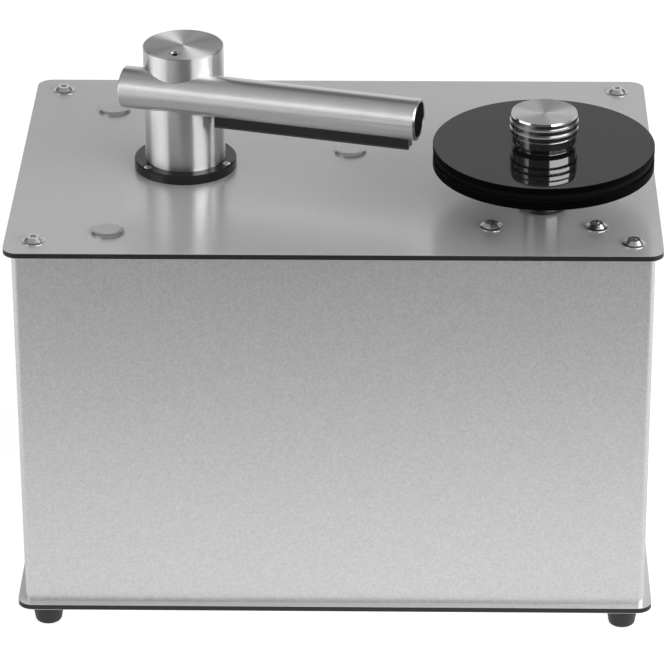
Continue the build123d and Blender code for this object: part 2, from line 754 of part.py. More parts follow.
with BuildPart() as clamp_knob:
    ring = (knob_height - knob_foot_height) / 4
    band_top = knob_foot_height + 1.25 * ring
    lower_ring_top = band_top + ring
    upper_ring_top = lower_ring_top + ring
    bore_radius = stud_radius + running_clearance
    add(turned([(x, knob_z + z) for x, z in [
        (bore_radius, face_gap), (knob_foot_radius, face_gap), (knob_foot_radius, knob_ease),
        (knob_band_radius, knob_foot_height), (knob_band_radius, band_top - knob_groove),
        (knob_groove_radius, band_top - knob_groove), (knob_groove_radius, band_top),
        (knob_ring_radius - knob_ease, band_top), (knob_ring_radius, band_top + knob_ease),
        (knob_ring_radius, lower_ring_top - knob_groove - knob_ease),
        (knob_ring_radius - knob_ease, lower_ring_top - knob_groove),
        (knob_groove_radius, lower_ring_top - knob_groove), (knob_groove_radius, lower_ring_top),
        (knob_ring_radius - knob_ease, lower_ring_top), (knob_ring_radius, lower_ring_top + knob_ease),
        (knob_ring_radius, upper_ring_top - knob_groove - knob_ease),
        (knob_ring_radius - knob_ease, upper_ring_top - knob_groove),
        (knob_groove_radius, upper_ring_top - knob_groove), (knob_groove_radius, upper_ring_top),
        (knob_ring_radius - knob_ease, upper_ring_top), (knob_ring_radius - knob_ease, knob_height - knob_rim),
        (knob_band_radius, knob_height), (0, knob_height - knob_dish_depth), (0, knob_bore_end),
        (bore_radius, knob_bore_end)]], origin=(spindle_x, spindle_y, 0)))
save(clamp_knob, "clamp_knob")

# ---------------------------------------------------------------- suction arm
flange_bore = post_radius + running_clearance
flange_top_z = deck_z + flange_thickness
with BuildPart() as arm_flange:
    add(turned([(flange_bore, deck_z), (flange_radius, deck_z), (flange_radius, flange_top_z - flange_edge),
                (flange_radius - flange_edge, flange_top_z), (flange_bore, flange_top_z)],
               origin=(*pivot_point, 0)))
    with Locations(*[(x, y, flange_top_z) for x, y in flange_screw_points]):
        CounterBoreHole(m3_radius + screw_clearance, m3_head_radius + fixed_clearance,
                        flange_screw_sink + m3_head_height, depth=flange_thickness)
save(arm_flange, "arm_flange")

flange_screw_seat_z = flange_top_z - flange_screw_sink - m3_head_height
flange_screw = button_screw(m3_radius, flange_screw_seat_z - roof_z + sleeve_screw_depth - blind_end,
                            m3_head_radius, m3_head_height, small_flange_height, m3_socket)
flange_screws = place(flange_screw, flange_screw_points, flange_screw_seat_z)
save(flange_screws, "flange_screws")

seal_bottom_z = guide_bottom_z + seal_rise
seal_top_z = seal_bottom_z + seal_section
with BuildPart() as arm_sleeve:
    outlet_outer = sleeve_outlet_radius + sleeve_outlet_wall
    outlet_bottom_z = lid_z - sleeve_outlet_reach
    rim_bottom_z = roof_z - sleeve_rim_thickness
    seal_outer = flange_bore + seal_section
    add(turned([(flange_bore, roof_z), (sleeve_rim_radius, roof_z), (sleeve_rim_radius, rim_bottom_z),
                (sleeve_radius, rim_bottom_z), (sleeve_radius, sleeve_floor_z - sleeve_floor),
                (outlet_outer, sleeve_floor_z - sleeve_floor), (outlet_outer, outlet_bottom_z),
                (sleeve_outlet_radius, outlet_bottom_z), (sleeve_outlet_radius, sleeve_floor_z),
                (sleeve_chamber_radius, sleeve_floor_z), (sleeve_chamber_radius, guide_bottom_z),
                (flange_bore, guide_bottom_z), (flange_bore, seal_bottom_z - fixed_clearance),
                (seal_outer, seal_bottom_z - fixed_clearance), (seal_outer, seal_top_z + fixed_clearance),
                (flange_bore, seal_top_z + fixed_clearance)], origin=(*pivot_point, 0)))
    with BuildSketch(Plane.XY.offset(roof_z)):
        with Locations(*flange_screw_points):
            Circle(m3_radius + thread_clearance)
    extrude(amount=-sleeve_screw_depth, mode=Mode.SUBTRACT)
save(arm_sleeve, "arm_sleeve")

with BuildPart() as post_seal:
    add(turned([(flange_bore, seal_bottom_z), (seal_outer - fixed_clearance, seal_bottom_z),
                (seal_outer - fixed_clearance, seal_top_z), (flange_bore, seal_top_z)],
               origin=(*pivot_point, 0)))
save(post_seal, "post_seal")

with BuildPart() as thrust_washer:
    washer_radius = sleeve_chamber_radius - running_clearance
    add(turned([(washer_bore, washer_bottom_z), (washer_radius, washer_bottom_z),
                (washer_radius, washer_top_z), (washer_bore, washer_top_z)], origin=(*pivot_point, 0)))
save(thrust_washer, "thrust_washer")

with BuildPart() as lift_spring:
    spring_rise = spring_length - 2 * spring_wire
    spring_start = (pivot_x, pivot_y, sleeve_floor_z + spring_wire)
    with BuildLine():
        coil = Helix(spring_rise / spring_turns, spring_rise, spring_radius, center=spring_start)
    with BuildSketch(Plane(origin=coil @ 0, z_dir=coil % 0)):
        Circle(spring_wire)
    sweep(path=coil, is_frenet=True)
save(lift_spring, "lift_spring")

with BuildPart() as arm_post:
    add(turned([(post_bore_radius, post_bottom_z), (post_collar_radius, post_bottom_z),
                (post_collar_radius, collar_top_z), (post_radius, collar_top_z),
                (post_radius, post_top_z - post_edge), (post_radius - post_edge, post_top_z),
                (0, post_top_z), (0, tube_z), (post_bore_radius, tube_z)], origin=(*pivot_point, 0)))
    with BuildSketch(tube_start):
        Circle(tube_radius + fixed_clearance)
    extrude(amount=tube_tail + tube_reach, mode=Mode.SUBTRACT)
    with BuildSketch(Plane(origin=arm_origin + Vector(0, 0, post_top_z), z_dir=(0, 0, 1))):
        Circle(set_screw_radius + thread_clearance)
    extrude(amount=-(post_top_z - tube_z), mode=Mode.SUBTRACT)
save(arm_post, "arm_post")

with BuildPart() as arm_set_screw:
    set_screw_plane = Plane(origin=arm_origin + Vector(0, 0, post_top_z - set_screw_sink), z_dir=(0, 0, 1))
    with BuildSketch(set_screw_plane):
        Circle(set_screw_radius)
    extrude(amount=tube_z + tube_radius + fixed_clearance - post_top_z + set_screw_sink)
    with BuildSketch(set_screw_plane):
        RegularPolygon(set_screw_socket / 2, 6, major_radius=False)
    extrude(amount=-set_screw_socket_depth, mode=Mode.SUBTRACT)
save(arm_set_screw, "arm_set_screw")

slot_start = nozzle_start + slot_margin
slot_end = nozzle_end - slot_margin
with BuildPart() as arm_tube:
    with BuildSketch(tube_start):
        Circle(tube_radius)
    extrude(amount=tube_tail + tube_reach)
    chamfer(arm_tube.edges().filter_by(GeomType.CIRCLE), length=tube_edge)
    with BuildSketch(tube_start):
        Circle(tube_radius - tube_wall)
    extrude(amount=tube_tail + tube_reach, mode=Mode.SUBTRACT)
    with BuildSketch(Plane(origin=arm_origin + Vector(0, 0, tube_z), x_dir=arm_along, z_dir=(0, 0, 1))):
        with Locations(((slot_start + slot_end) / 2, 0)):
            Rectangle(slot_end - slot_start, slot_width)
        with Locations((0, tube_offset)):
            Circle(post_bore_radius - fixed_clearance)
    extrude(amount=-2 * tube_radius, mode=Mode.SUBTRACT)
save(arm_tube, "arm_tube")

for name, start in (("front", tube_tail + tube_reach - plug_recess - plug_length), ("rear", plug_recess)):
    with BuildPart() as tube_plug:
        with BuildSketch(tube_start.offset(start)):
            Circle(tube_radius - tube_wall - fixed_clearance)
        extrude(amount=plug_length)
    save(tube_plug, f"tube_plug_{name}")

nozzle_plane = Plane(origin=arm_origin + Vector(0, 0, nozzle_bottom_z), x_dir=arm_along, z_dir=(0, 0, 1))
nozzle_middle = (nozzle_start + nozzle_end) / 2
with BuildPart() as slot_nozzle:
    with BuildSketch(nozzle_plane):
        with Locations((nozzle_middle, 0)):
            Rectangle(nozzle_end - nozzle_start, nozzle_width)
        with Locations(((slot_start + slot_end) / 2, 0)):
            Rectangle(slot_end - slot_start, slot_width, mode=Mode.SUBTRACT)
    extrude(amount=nozzle_depth + tube_radius)
    with BuildSketch(nozzle_plane.offset(nozzle_depth + tube_wall)):
        with Locations((nozzle_middle, 0)):
            Rectangle(nozzle_end - nozzle_start, nozzle_width)
    extrude(amount=tube_radius, mode=Mode.SUBTRACT)
    with BuildSketch(tube_start):
        Circle(tube_radius + fixed_clearance)
    extrude(amount=tube_tail + tube_reach, mode=Mode.SUBTRACT)
save(slot_nozzle, "slot_nozzle")

with BuildPart() as velvet_strips:
    with BuildSketch(nozzle_plane):
        strip_y = (nozzle_width - velvet_width) / 2
        with Locations((nozzle_middle, strip_y), (nozzle_middle, -strip_y)):
            Rectangle(nozzle_end - nozzle_start, velvet_width)
    extrude(amount=-velvet_thickness)
save(velvet_strips, "velvet_strips")

# ---------------------------------------------------------------- waste tank
with BuildPart() as waste_tank:
    with BuildSketch(Plane.XY.offset(floor_z)):
        with Locations(tank_point):
            RectangleRounded(tank_width, tank_depth, tank_corner_radius)
    extrude(amount=tank_height)
    tank_top = waste_tank.faces().sort_by(Axis.Z)[-1]
    offset(amount=-tank_wall, openings=tank_top)
    with BuildSketch(Plane.YZ.offset(tank_left_x)):
        with Locations((drain_y, drain_z)):
            Circle(drain_tube_radius + fixed_clearance)
    extrude(amount=tank_wall, mode=Mode.SUBTRACT)
save(waste_tank, "waste_tank")

with BuildPart() as tank_gasket:
    with BuildSketch(Plane.XY.offset(tank_top_z)):
        with Locations(tank_point):
            RectangleRounded(tank_width, tank_depth, tank_corner_radius)
            RectangleRounded(tank_width - 2 * tank_wall, tank_depth - 2 * tank_wall,
                             tank_corner_radius - tank_wall, mode=Mode.SUBTRACT)
    extrude(amount=tank_gasket_thickness)
save(tank_gasket, "tank_gasket")

port_radius = hose_bore_radius - fixed_clearance
hose_port_x = tank_right_x - hose_port_inset
hose_port_point = (hose_port_x, hose_y)
with BuildPart() as tank_lid:
    with BuildSketch(Plane.XY.offset(lid_z)):
        with Locations(tank_point):
            RectangleRounded(tank_width + 2 * tank_lid_rim, tank_depth + 2 * tank_lid_rim,
                             tank_corner_radius + tank_lid_rim)
        with Locations(*tank_bolt_points):
            Circle(tank_ear_radius)
        with Locations(pivot_point):
            Circle(sleeve_outlet_radius + sleeve_outlet_wall + fixed_clearance, mode=Mode.SUBTRACT)
        with Locations(*tank_bolt_points):
            Circle(tank_bolt_radius + thread_clearance, mode=Mode.SUBTRACT)
    extrude(amount=tank_lid_thickness)
    with BuildSketch(Plane.XY.offset(lid_z)):
        with Locations(hose_port_point):
            Circle(port_radius)
    extrude(amount=tank_lid_thickness + port_height)
    with BuildSketch(Plane.XY.offset(lid_z)):
        with Locations(hose_port_point):
            Circle(port_radius - port_wall)
    extrude(amount=tank_lid_thickness + port_height, mode=Mode.SUBTRACT)
save(tank_lid, "tank_lid")

with BuildPart() as tank_spacers:
    with BuildSketch(Plane.XY.offset(lid_top_z)):
        with Locations(*tank_bolt_points):
            Circle(tank_spacer_radius)
            Circle(tank_bolt_radius + screw_clearance, mode=Mode.SUBTRACT)
    extrude(amount=roof_z - lid_top_z)
save(tank_spacers, "tank_spacers")

tank_bolt = turned([(0, lid_z - deck_z), (tank_bolt_radius, lid_z - deck_z), (tank_bolt_radius, 0),
                    (tank_bolt_head_radius, 0), (tank_bolt_head_radius, tank_bolt_head_height - tank_bolt_edge),
                    (tank_bolt_head_radius - tank_bolt_edge, tank_bolt_head_height - tank_bolt_crown),
                    (tank_bolt_head_radius - 2.5 * tank_bolt_edge, tank_bolt_head_height),
                    (0, tank_bolt_head_height)])
tank_bolts = place(tank_bolt, tank_bolt_points, deck_z)
save(tank_bolts, "tank_bolts")

# the drain runs level through the tank's left wall and the case
drain_plane = Plane(origin=(case_left_x, drain_y, drain_z), x_dir=(0, 1, 0), z_dir=(-1, 0, 0))
drain_tube_length = tank_left_x + tank_wall - case_left_x
with BuildPart() as drain_port:
    with BuildSketch(drain_plane):
        Circle(drain_tube_radius)
    extrude(amount=-drain_tube_length)
    with BuildSketch(drain_plane):
        Circle(drain_flange_radius)
    extrude(amount=drain_flange_thickness)
    with BuildSketch(drain_plane.offset(drain_flange_thickness)):
        Circle(drain_bore_radius)
    extrude(amount=-drain_flange_thickness - drain_tube_length, mode=Mode.SUBTRACT)
save(drain_port, "drain_port")

with BuildPart() as drain_plug:
    with BuildSketch(drain_plane.offset(drain_flange_thickness + face_gap)):
        Circle(drain_head_radius)
    extrude(amount=drain_head_thickness - face_gap)
    fillet(drain_plug.edges().sort_by(Axis.X)[0], radius=drain_edge_radius)
    with BuildSketch(drain_plane.offset(drain_flange_thickness + drain_head_thickness)):
        Rectangle(2 * drain_head_radius, drain_slot_width)
    extrude(amount=-drain_slot_depth, mode=Mode.SUBTRACT)
    with BuildSketch(drain_plane.offset(drain_flange_thickness + face_gap)):
        Circle(drain_bore_radius - running_clearance)
    extrude(amount=-drain_stem_length)
save(drain_plug, "drain_plug")

# ---------------------------------------------------------------- suction
with BuildPart() as suction_hose:
    hose_start = (hose_port_x, hose_y, lid_top_z)
    hose_end = (vacuum_x, hose_y, fan_top_z)
    with BuildLine():
        hose_path = FilletPolyline(hose_start, (hose_port_x, hose_y, hose_level_z),
                                   (vacuum_x, hose_y, hose_level_z), hose_end, radius=hose_bend_radius)
    with BuildSketch(Plane(origin=hose_start, x_dir=(1, 0, 0), z_dir=(0, 0, 1))):
        Circle(hose_bore_radius + hose_wall)
        Circle(hose_bore_radius, mode=Mode.SUBTRACT)
    sweep(path=hose_path)
save(suction_hose, "suction_hose")

with BuildPart() as vacuum_pad:
    with BuildSketch(Plane.XY.offset(floor_z)):
        with Locations(vacuum_point):
            Circle(vacuum_pad_radius)
            Circle(vacuum_pad_bore, mode=Mode.SUBTRACT)
    extrude(amount=vacuum_pad_height)
save(vacuum_pad, "vacuum_pad")

with BuildPart() as vacuum_motor:
    rotor_bore = rotor_radius + running_clearance
    add(turned([(0, can_z), (vacuum_can_radius, can_z), (vacuum_can_radius, fan_z), (rotor_bore, fan_z),
                (rotor_bore, fan_z - rotor_depth), (0, fan_z - rotor_depth)], origin=(*vacuum_point, 0)))
save(vacuum_motor, "vacuum_motor")

with BuildPart() as fan_housing:
    inner_radius = fan_radius - fan_wall
    port_bore = port_radius - port_wall
    port_top_z = fan_top_z + port_height
    add(turned([(rotor_bore, fan_z), (fan_radius, fan_z), (fan_radius, fan_top_z), (port_radius, fan_top_z),
                (port_radius, port_top_z), (port_bore, port_top_z), (port_bore, fan_top_z - fan_wall),
                (inner_radius, fan_top_z - fan_wall), (inner_radius, fan_z + fan_wall),
                (rotor_bore, fan_z + fan_wall)], origin=(*vacuum_point, 0)))
    with BuildSketch(Plane.XZ.offset(-hose_y)):
        with Locations((vacuum_x, fan_z + fan_height / 2)):
            Rectangle(fan_outlet_width, fan_outlet_height)
    extrude(amount=-fan_radius, mode=Mode.SUBTRACT)
save(fan_housing, "fan_housing")

with BuildPart() as vacuum_rotor:
    fan_tip_radius = inner_radius - fan_gap
    with BuildSketch(Plane.XY.offset(rotor_plate_z)):
        with Locations(vacuum_point):
            Circle(fan_tip_radius)
    extrude(amount=fan_plate_thickness)
    with BuildSketch(Plane.XY.offset(rotor_plate_z)):
        with Locations(vacuum_point):
            Circle(fan_hub_radius)
            with PolarLocations((fan_hub_radius + fan_tip_radius - fan_blade_root) / 2, fan_blades):
                Rectangle(fan_tip_radius - fan_hub_radius + fan_blade_root, fan_blade_thickness)
            Circle(fan_tip_radius, mode=Mode.INTERSECT)
    extrude(amount=fan_plate_thickness + fan_blade_height)
    with BuildSketch(Plane.XY.offset(fan_z - rotor_depth + face_gap)):
        with Locations(vacuum_point):
            Circle(rotor_radius)
    extrude(amount=rotor_depth + fan_wall + fan_plate_rise)
save(vacuum_rotor, "vacuum_rotor")

# ---------------------------------------------------------------- switches
for name, y, tilt in (("vacuum", switch_points_y[0], rocker_tilt), ("platter", switch_points_y[1], 0.0)):
    wall_plane = Plane(origin=(case_right_x, y, switch_z), x_dir=(0, 1, 0), z_dir=(1, 0, 0))
    opening_half = rocker_radius + rocker_end_gap
    cavity_width = rocker_width + 2 * rocker_side_gap
    with BuildPart() as switch_body:
        with BuildSketch(wall_plane):
            Rectangle(bezel_width, bezel_height)
        extrude(amount=bezel_thickness)
        with BuildSketch(wall_plane):
            Rectangle(switch_body_width, switch_body_height)
        extrude(amount=-switch_depth)
        with BuildSketch(wall_plane.offset(bezel_thickness)):
            Rectangle(cavity_width, 2 * opening_half)
        extrude(amount=-bezel_thickness - rocker_pivot_depth - rocker_radius / 2, mode=Mode.SUBTRACT)
        with BuildSketch(Plane.XZ.offset(-y)):
            with Locations((rocker_x, switch_z)):
                Circle(rocker_pin_radius + running_clearance)
        extrude(amount=switch_body_width / 2, both=True, mode=Mode.SUBTRACT)
    save(switch_body, f"{name}_switch")

    rocker_plane = Plane(origin=(rocker_x, y + rocker_width / 2, switch_z),
                         x_dir=(cos(radians(tilt)), 0, sin(radians(tilt))), z_dir=(0, -1, 0))
    with BuildPart() as rocker:
        with BuildSketch(rocker_plane):
            with BuildLine():
                Polyline((-rocker_root, -rocker_radius), (rocker_crest, -rocker_radius), (rocker_valley, 0),
                         (rocker_crest, rocker_radius), (-rocker_root, rocker_radius), close=True)
            make_face()
            Circle(rocker_radius, mode=Mode.INTERSECT)
        extrude(amount=rocker_width)
        with BuildSketch(rocker_plane.offset(-rocker_pin_reach)):
            Circle(rocker_pin_radius)
        extrude(amount=rocker_width + 2 * rocker_pin_reach)
    save(rocker, f"{name}_rocker")

# ---------------------------------------------------------------- mains inlet
inlet_plane = Plane(origin=(inlet_x, case_rear_y, inlet_z), x_dir=(-1, 0, 0), z_dir=(0, 1, 0))
with BuildPart() as mains_inlet:
    with BuildSketch(inlet_plane):
        RectangleRounded(inlet_flange_width, inlet_flange_height, inlet_corner)
    extrude(amount=inlet_flange_thickness)
    with BuildSketch(inlet_plane):
        Rectangle(inlet_body_width, inlet_body_height)
    extrude(amount=-inlet_depth)
    with BuildSketch(inlet_plane.offset(inlet_flange_thickness)):
        RectangleRounded(inlet_cavity_width, inlet_cavity_height, inlet_corner)
    extrude(amount=-inlet_cavity_depth, mode=Mode.SUBTRACT)
    with BuildSketch(inlet_plane.offset(inlet_flange_thickness - inlet_cavity_depth)):
        with Locations((-blade_pitch / 2, -blade_offset), (0, blade_offset), (blade_pitch / 2, -blade_offset)):
            Rectangle(blade_width, blade_height)
    extrude(amount=blade_length)
save(mains_inlet, "mains_inlet")

# ---------------------------------------------------------------- supply board
with BuildPart() as supply_board:
    board_x = inner_right_x - board_right_gap - board_width / 2
    board_y = inner_front_y + board_front_gap + board_depth / 2
    board_z = floor_z + board_standoff
    component_z = board_z + board_thickness
    with BuildSketch(Plane.XY.offset(board_z)):
        with Locations((board_x, board_y)):
            Rectangle(board_width, board_depth)
    extrude(amount=board_thickness)
    with BuildSketch(Plane.XY.offset(floor_z)):
        with Locations((board_x, board_y)):
            with GridLocations(board_width - 2 * board_hole_inset, board_depth - 2 * board_hole_inset, 2, 2):
                Circle(board_standoff_radius)
    extrude(amount=board_standoff)
    with BuildSketch(Plane.XY.offset(component_z)):
        with Locations((board_x - board_width / 4, board_y)):
            Rectangle(transformer_width, transformer_depth)
    extrude(amount=transformer_height)
    with BuildSketch(Plane.XY.offset(component_z)):
        with Locations((board_x + board_width / 4, board_y)):
            with GridLocations(0, 3 * capacitor_radius, 1, 2):
                Circle(capacitor_radius)
    extrude(amount=capacitor_height)
save(supply_board, "supply_board")
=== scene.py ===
"""Looks of the record cleaning machine: finishes, a mesh of its own for the lift spring, studio
and camera.
"""
from math import cos, pi, radians, sin

import bpy
from mathutils import Matrix, Vector


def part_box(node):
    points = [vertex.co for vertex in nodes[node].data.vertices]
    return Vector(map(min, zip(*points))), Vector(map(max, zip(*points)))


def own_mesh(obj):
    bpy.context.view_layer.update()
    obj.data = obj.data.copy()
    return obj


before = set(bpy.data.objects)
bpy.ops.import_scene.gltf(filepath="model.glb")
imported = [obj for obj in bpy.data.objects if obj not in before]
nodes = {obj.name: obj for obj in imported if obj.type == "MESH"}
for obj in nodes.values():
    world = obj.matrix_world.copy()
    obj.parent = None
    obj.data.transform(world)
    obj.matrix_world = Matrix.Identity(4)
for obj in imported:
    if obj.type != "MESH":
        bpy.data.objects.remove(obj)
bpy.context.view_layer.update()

# ---------------------------------------------------------------- places, metres
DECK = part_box("top_plate")[1].z
PIVOT = Vector((-0.0800, -0.0015, 0))             # axis of the arm post
SPINDLE = Vector((0.1075, -0.0510, 0))            # axis of the turntable
ARM_ANGLE = radians(-15.4)                        # arm tube, turned to the front from +X
TUBE_CROSSING = (-0.08356, -0.01442, DECK + 0.047)  # tube's axis where it passes the post
PLATE = 0.003                                     # thickness of the top and bottom plates
SKIN = 0.00015                                    # metal skin on each side of a plate
BASE = 0.014                                      # underside of the bottom plate
MICRON = 0.000001

# ---------------------------------------------------------------- camera
PICTURE_WIDTH = 665            # pixels
FOCAL_LENGTH = 3981.8          # in the same pixels
SENSOR_WIDTH = 36.0            # mm
EYE = (0.04062, -1.92589, 1.08617)
PITCH, YAW, ROLL = radians(26.579), radians(1.289), radians(-0.281)
SIGHT = 20.0                   # how far the camera sees


def stand_camera():
    """Long lens, above and in front of the machine."""
    data = bpy.data.cameras.new("camera")
    data.sensor_width = SENSOR_WIDTH
    data.lens = FOCAL_LENGTH / PICTURE_WIDTH * SENSOR_WIDTH
    data.clip_end = SIGHT
    camera = bpy.data.objects.new("camera", data)
    camera.matrix_world = (Matrix.Translation(EYE)
                           @ Matrix.Rotation(YAW, 4, "Z")
                           @ Matrix.Rotation(pi / 2 - PITCH, 4, "X")
                           @ Matrix.Rotation(ROLL, 4, "Z"))
    bpy.context.scene.collection.objects.link(camera)
    bpy.context.scene.camera = camera


stand_camera()


# ---------------------------------------------------------------- shader helpers
class Tree:
    """Adds and joins the nodes of one material, group or world."""

    def __init__(self, tree):
        self.tree = tree

    def add(self, kind, **values):
        """A new node: a name that starts with _ is a setting, any other a socket."""
        node = self.tree.nodes.new(kind)
        for name, value in values.items():
            if name.startswith("_"):
                setattr(node, name[1:], value)
            else:
                self.put(node, name.replace("_", " "), value)
        return node

    def put(self, node, name, value):
        """Links a socket into an input, or sets the input to a value."""
        socket = node.inputs[int(name)] if name.isdigit() else node.inputs[name]
        if isinstance(value, bpy.types.NodeSocket):
            self.tree.links.new(value, socket)
        else:
            wide = hasattr(socket.default_value, "__len__") and hasattr(value, "__len__")
            socket.default_value = value[:len(socket.default_value)] if wide else value

    def end(self, kind, name, socket):
        """Joins a socket to a new output node."""
        self.tree.links.new(socket, self.add(kind).inputs[name])

    def math(self, operation, a, b=0.0, c=0.0, clamp=False):
        node = self.tree.nodes.new("ShaderNodeMath")
        node.operation = operation
        node.use_clamp = clamp
        for index, value in enumerate((a, b, c)):
            self.put(node, str(index), value)
        return node.outputs[0]

    def split(self, vector):
        return self.add("ShaderNodeSeparateXYZ", Vector=vector).outputs

    def noise(self, place, scale, detail=3.0, roughness=0.5, stretch=None):
        if stretch:
            place = self.add("ShaderNodeMapping", Vector=place, Scale=stretch).outputs[0]
        return self.add("ShaderNodeTexNoise", Vector=place, Scale=scale, Detail=detail,
                        Roughness=roughness).outputs["Fac"]

    def swing(self, noise):
        """A noise less its mean."""
        return self.math("SUBTRACT", noise, 0.5)

    def blend(self, first, share, second):
        """A share of one value and the rest of another."""
        return self.math("ADD", self.math("MULTIPLY", first, share),
                         self.math("MULTIPLY", second, 1.0 - share))

    def ramp(self, value, low, high, bottom=0.0, top=1.0):
        """Maps low..high of a value to bottom..top, with soft ends."""
        node = self.tree.nodes.new("ShaderNodeMapRange")
        node.interpolation_type = "SMOOTHSTEP"
        for index, number in enumerate((value, low, high, bottom, top)):
            self.put(node, str(index), number)
        return node.outputs[0]

    def tint(self, fac, dark, light):
        """Mixes two colours by a value."""
        node = self.tree.nodes.new("ShaderNodeMix")
        node.data_type = "RGBA"
        self.put(node, "0", fac)
        self.put(node, "6", dark)
        self.put(node, "7", light)
        return node.outputs[2]

    def even(self, tone):
        """A grey from a value that changes over the surface."""
        return self.add("ShaderNodeCombineColor", Red=tone, Green=tone, Blue=tone).outputs[0]

    def facing(self):
        """0 on upright walls, 1 on faces that look straight up or down."""
        normal = self.add("ShaderNodeNewGeometry").outputs["True Normal"]
        return self.math("ABSOLUTE", self.split(normal)[2])


def grey(value):
    return (value, value, value, 1.0)


# ---------------------------------------------------------------- finish groups
GROUP_INPUTS = {"Grain": 1000.0, "Contrast": 0.1, "Drift": 0.05}
GROUP_OUTPUTS = ("Shade", "Roughness", "Height")


def finish_group(build):
    """A shader group named for its build: Place and the inputs in, the outputs out."""
    tree = bpy.data.node_groups.new(build.__name__, "ShaderNodeTree")
    tree.interface.new_socket("Place", in_out="INPUT", socket_type="NodeSocketVector")
    for label, default in GROUP_INPUTS.items():
        socket = tree.interface.new_socket(label, in_out="INPUT", socket_type="NodeSocketFloat")
        socket.default_value = default
    for label in GROUP_OUTPUTS:
        tree.interface.new_socket(label, in_out="OUTPUT", socket_type="NodeSocketFloat")
    kit = Tree(tree)
    ends = kit.add("NodeGroupInput").outputs
    out = kit.add("NodeGroupOutput")
    for label, socket in build(kit, ends).items():
        tree.links.new(socket, out.inputs[label])
    return tree


def blasted(kit, ends):
    """Fine bead-blasted speckle, with slow drifts of tone."""
    slow_scale, gloss_swing = 9.0, 0.15
    fine = kit.noise(ends["Place"], ends["Grain"], detail=2.0, roughness=0.7)
    slow = kit.noise(ends["Place"], slow_scale, detail=2.0)
    speck = kit.math("MULTIPLY_ADD", kit.swing(fine), ends["Contrast"], 1.0)
    drift = kit.math("MULTIPLY", kit.swing(slow), ends["Drift"])
    return {"Shade": kit.math("ADD", speck, drift),
            "Roughness": kit.math("MULTIPLY", kit.swing(fine), gloss_swing),
            "Height": fine}


def brushed(kit, ends):
    """Long fine scratches along the X axis of Place."""
    hair_share, broad_scale = 0.7, 60.0
    hair_stretch, broad_stretch = (0.02, 1.0, 1.0), (0.05, 1.0, 1.0)
    hair = kit.noise(ends["Place"], ends["Grain"], detail=3.0, roughness=0.65,
                     stretch=hair_stretch)
    broad = kit.noise(ends["Place"], broad_scale, detail=2.0, stretch=broad_stretch)
    swing = kit.swing(kit.blend(hair, hair_share, broad))
    return {"Shade": kit.math("MULTIPLY_ADD", swing, ends["Contrast"], 1.0),
            "Roughness": kit.math("MULTIPLY", swing, ends["Drift"]),
            "Height": hair}


def turned(kit, ends):
    """Lathe lines round the Z axis of Place: rings by height and by radius."""
    line_share, broad_scale, smear_scale, gloss_swing = 0.6, 150.0, 70.0, 0.08
    x, y, z = kit.split(ends["Place"])
    radius = kit.math("SQRT", kit.math("ADD", kit.math("MULTIPLY", x, x),
                                       kit.math("MULTIPLY", y, y)))
    place = kit.add("ShaderNodeCombineXYZ", X=radius, Y=z).outputs[0]
    lines = kit.noise(place, ends["Grain"], detail=3.0, roughness=0.7)
    broad = kit.noise(place, broad_scale, detail=1.0)
    smear = kit.noise(ends["Place"], smear_scale, detail=2.0)
    swing = kit.swing(kit.blend(lines, line_share, broad))
    drift = kit.math("MULTIPLY", kit.swing(smear), ends["Drift"])
    return {"Shade": kit.math("MULTIPLY_ADD", swing, ends["Contrast"], 1.0),
            "Roughness": kit.math("ADD", drift, kit.math("MULTIPLY", swing, gloss_swing)),
            "Height": lines}


def handled(kit, ends):
    """Faint smears and dust of a piece in use."""
    smear_scale, smear_ends, dust_ends = 28.0, (0.45, 0.75), (0.62, 0.80)
    smear = kit.ramp(kit.noise(ends["Place"], smear_scale, detail=4.0, roughness=0.6),
                     *smear_ends)
    dust = kit.ramp(kit.noise(ends["Place"], ends["Grain"], detail=2.0, roughness=0.8),
                    *dust_ends)
    return {"Shade": kit.math("MULTIPLY_ADD", dust, ends["Contrast"], 1.0),
            "Roughness": kit.math("MULTIPLY", smear, ends["Drift"]),
            "Height": dust}


GROUPS = {build.__name__: finish_group(build) for build in (blasted, brushed, turned, handled)}


# ---------------------------------------------------------------- one finish
FLAT_FACING = (0.6, 0.9)       # facing at which a face starts to count as flat, and is flat
WALL_ROUGHNESS, WALL_GLOSS = 0.6, 0.03


